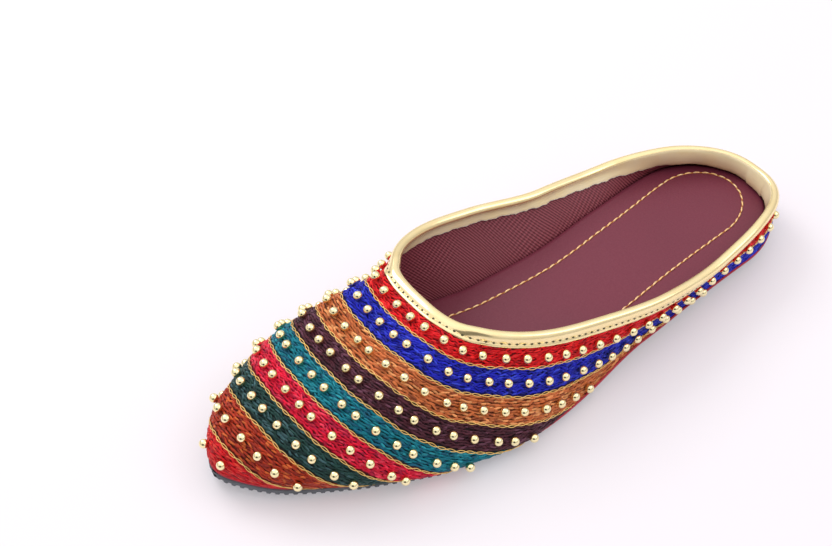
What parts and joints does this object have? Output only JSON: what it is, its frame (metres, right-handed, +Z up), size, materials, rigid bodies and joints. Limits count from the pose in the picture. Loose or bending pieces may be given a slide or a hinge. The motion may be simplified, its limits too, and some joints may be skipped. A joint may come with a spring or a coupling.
{
  "type": "mojari shoe",
  "caption": "Left flat slipper with a pointed toe: a hollow beaded fabric upper bound in gold at the collar, an insole, and a thin ribbed rubber sole with a low heel.",
  "frame": {"origin": "centre of the bounding box in plan, on the floor plane under the sole", "axes": "+Y from toe to heel along the shoe's length, +X towards the outer side of the left foot, +Z up"},
  "size_m": [0.0986, 0.255, 0.0456],
  "materials": {
    "upper": "embroidered with dyed thread in bands of red, blue, brown, plum, teal, crimson, green and rust",
    "binding": "metallic gold foil on soft backing",
    "insole": "smooth maroon imitation leather",
    "outsole": "dark grey moulded rubber, ribbed edge",
    "bead": "bright gold metallised beads"
  },
  "bodies": {
    "root": {"upper": "upper", "collar_binding": "binding", "insole": "insole", "outsole": "outsole", "bead_row_1": "bead", "bead_row_2": "bead", "bead_row_3": "bead", "bead_row_4": "bead", "bead_row_5": "bead", "bead_row_6": "bead", "bead_row_7": "bead", "bead_row_8": "bead", "bead_row_9": "bead"}
  },
  "joints": []
}
